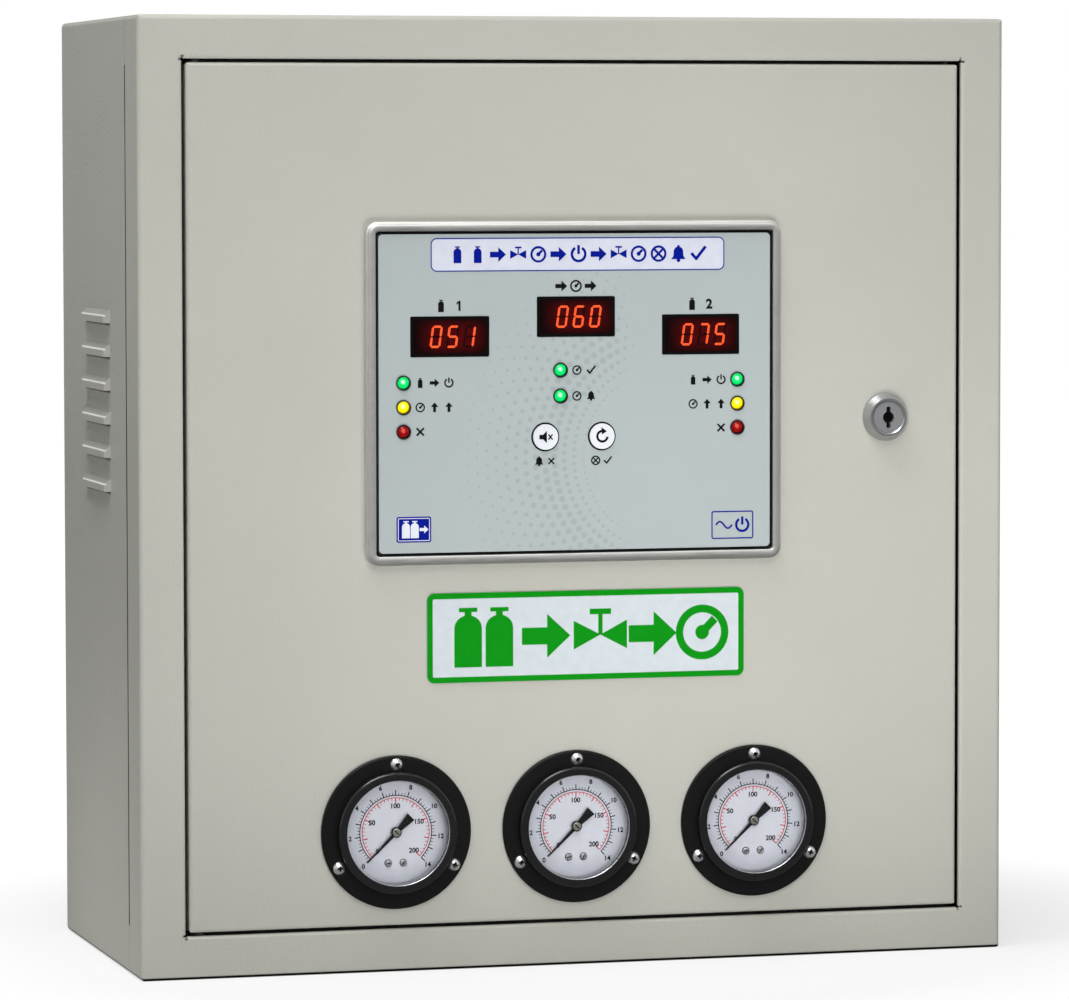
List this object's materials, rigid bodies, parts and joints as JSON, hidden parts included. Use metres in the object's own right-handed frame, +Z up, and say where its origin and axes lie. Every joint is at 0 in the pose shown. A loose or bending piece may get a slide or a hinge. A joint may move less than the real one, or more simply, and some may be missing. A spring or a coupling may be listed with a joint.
{
  "type": "gas manifold panel",
  "caption": "Wall cabinet with a flush locking door that carries gauges, a lit display unit and push buttons, over a gas changeover manifold with ports in the base.",
  "frame": {"origin": "middle of the base, on the surface that the cabinet stands on", "axes": "+X to the right seen from the front, +Y to the wall, +Z up"},
  "size_m": [0.5066, 0.227, 0.53],
  "materials": {
    "cabinet_paint": "fine powder coat",
    "zinc_steel": "zinc plated",
    "bright_steel": "polished nickel",
    "brass": "turned brass",
    "copper": "drawn copper",
    "rubber": "matte black",
    "nylon": "natural nylon",
    "black_plastic": "moulded",
    "grey_plastic": "moulded",
    "bezel_aluminium": "satin anodised",
    "front_plate": "printed film",
    "display_filter": "red filter",
    "lamp_green": "lit lens",
    "lamp_yellow": "lit lens",
    "lamp_red": "lit lens",
    "button_white": "gloss",
    "board_green": "solder resist",
    "label_film": "gloss film",
    "gauge_black": "semi-gloss",
    "lens_glass": "clear",
    "dial_white": "matte white"
  },
  "bodies": {
    "cabinet": {"cabinet_shell": "cabinet_paint", "back_panel": "cabinet_paint", "gland_plate": "zinc_steel", "cable_grommet": "rubber", "front_frame": "cabinet_paint", "door_stop": "cabinet_paint", "door_seal": "rubber", "hinge_bushes": "nylon", "mounting_plate": "zinc_steel", "plate_fixings": "zinc_steel", "pipe_unions": "brass", "copper_pipes": "copper", "pipe_clamps": "zinc_steel", "regulator_body_1": "brass", "regulator_body_2": "brass", "regulator_bonnet_1": "bright_steel", "regulator_bonnet_2": "bright_steel", "solenoid_valve_1": "brass", "solenoid_valve_2": "brass", "solenoid_coil_1": "black_plastic", "solenoid_coil_2": "black_plastic", "check_valves": "brass", "junction_block": "brass", "pressure_sensors": "bright_steel", "power_supply": "zinc_steel", "terminal_rail": "zinc_steel", "terminal_blocks": "grey_plastic"},
    "door": {"door_panel": "cabinet_paint", "hinge_pins": "bright_steel", "lock_barrel": "bright_steel", "lock_nut": "bright_steel", "panel_bezel": "bezel_aluminium", "panel_face": "front_plate", "display_windows": "display_filter", "display_modules": "black_plastic", "lamp_rings": "black_plastic", "lamps_green": "lamp_green", "lamps_yellow": "lamp_yellow", "lamps_red": "lamp_red", "circuit_board": "board_green", "board_parts": "black_plastic", "board_spacers": "zinc_steel", "rear_cover": "grey_plastic", "cover_screws": "bright_steel", "label_plate": "label_film", "gauge_cases": "gauge_black", "gauge_lenses": "lens_glass", "gauge_lens_rings": "bright_steel", "gauge_dials": "dial_white", "gauge_movements": "brass", "gauge_fixings": "bright_steel"},
    "lock": {"lock_plug": "bright_steel", "lock_cam": "bright_steel"},
    "mute_key": {"mute_button": "button_white"},
    "test_key": {"test_button": "button_white"},
    "pointer_1": {"gauge_pointer_1": "gauge_black"},
    "pointer_2": {"gauge_pointer_2": "gauge_black"},
    "pointer_3": {"gauge_pointer_3": "gauge_black"},
    "knob_1": {"regulator_knob_1": "black_plastic"},
    "knob_2": {"regulator_knob_2": "black_plastic"}
  },
  "joints": [
    {"name": "door_swing", "type": "hinge", "parent": "cabinet", "child": "door", "pos_m": [-0.217, -0.105, 0.265], "axis": [0, 0, -1], "range_deg": [0, 110]},
    {"name": "lock_turn", "type": "hinge", "parent": "door", "child": "lock", "pos_m": [0.18, -0.11, 0.305], "axis": [0, 1, 0], "range_deg": [0, 90]},
    {"name": "mute_press", "type": "slide", "parent": "door", "child": "mute_key", "axis": [0, 1, 0], "range_m": [0, 0.0008], "stiffness_N_per_m": 500, "springref_m": -0.001},
    {"name": "test_press", "type": "slide", "parent": "door", "child": "test_key", "axis": [0, 1, 0], "range_m": [0, 0.0008], "stiffness_N_per_m": 500, "springref_m": -0.001},
    {"name": "pointer_1_turn", "type": "hinge", "parent": "door", "child": "pointer_1", "pos_m": [-0.106, -0.11, 0.078], "axis": [0, 1, 0], "range_deg": [0, 270], "stiffness_Nm_per_rad": 0.0001, "springref_deg": -28.65},
    {"name": "pointer_2_turn", "type": "hinge", "parent": "door", "child": "pointer_2", "pos_m": [-0.002, -0.11, 0.078], "axis": [0, 1, 0], "range_deg": [0, 270], "stiffness_Nm_per_rad": 0.0001, "springref_deg": -28.65},
    {"name": "pointer_3_turn", "type": "hinge", "parent": "door", "child": "pointer_3", "pos_m": [0.102, -0.11, 0.078], "axis": [0, 1, 0], "range_deg": [0, 270], "stiffness_Nm_per_rad": 0.0001, "springref_deg": -28.65},
    {"name": "regulator_1_turn", "type": "hinge", "parent": "cabinet", "child": "knob_1", "pos_m": [-0.15, 0.042, 0.15], "axis": [0, 1, 0], "range_deg": [0, 540]},
    {"name": "regulator_2_turn", "type": "hinge", "parent": "cabinet", "child": "knob_2", "pos_m": [0.15, 0.042, 0.15], "axis": [0, 1, 0], "range_deg": [0, 540]}
  ]
}
